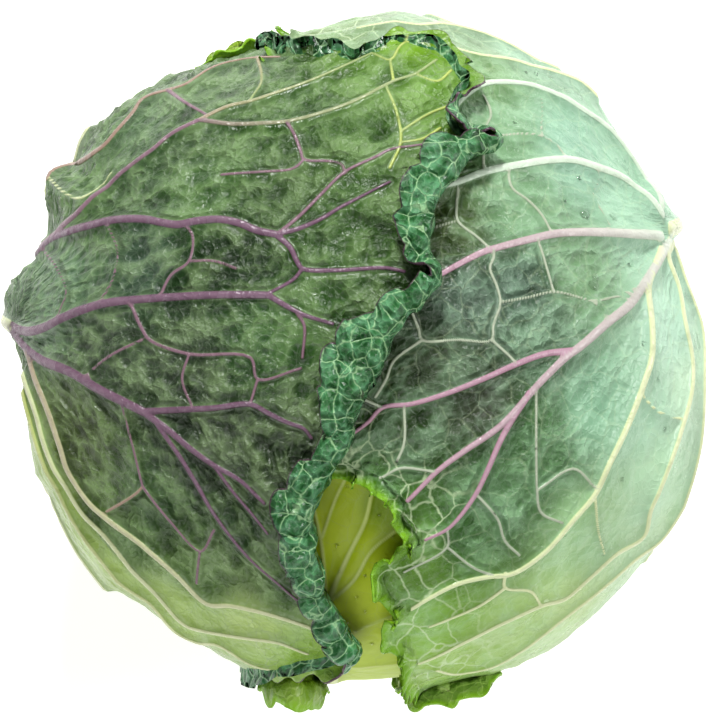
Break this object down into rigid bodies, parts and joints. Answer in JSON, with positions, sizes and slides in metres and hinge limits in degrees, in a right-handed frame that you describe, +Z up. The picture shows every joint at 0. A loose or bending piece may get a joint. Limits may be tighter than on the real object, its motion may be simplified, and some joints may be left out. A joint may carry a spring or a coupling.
{
  "type": "savoy cabbage",
  "caption": "Whole savoy cabbage: crinkled, veined wrapper leaves laid over a tight round head that stands on its cut stem.",
  "frame": {"origin": "middle of the flat cut face of the stem, which the cabbage stands on", "axes": "+Z up through the top of the head; +X towards the side where the pale leaf leaves the stem; +Y towards the back, where that leaf passes under the dark one"},
  "size_m": [0.1953, 0.1983, 0.1613],
  "materials": {
    "stem": "moist cut stem, matt and pale",
    "heart": "pale packed leaves, waxy",
    "heart_leaf": "smooth yellow-green young leaf, satin",
    "mint_leaf": "crinkled leaf under a whitish wax bloom, glossy",
    "dark_leaf": "crinkled dark leaf with purple ribs, glossy",
    "green_leaf": "crinkled fresh green leaf with pale ribs, satin"
  },
  "bodies": {
    "root": {"cut_stem": "stem", "heart": "heart", "heart_leaf": "heart_leaf", "right_leaf": "mint_leaf", "left_leaf": "dark_leaf", "front_right_leaf": "green_leaf", "back_leaf": "green_leaf", "front_left_leaf": "green_leaf"}
  },
  "joints": []
}
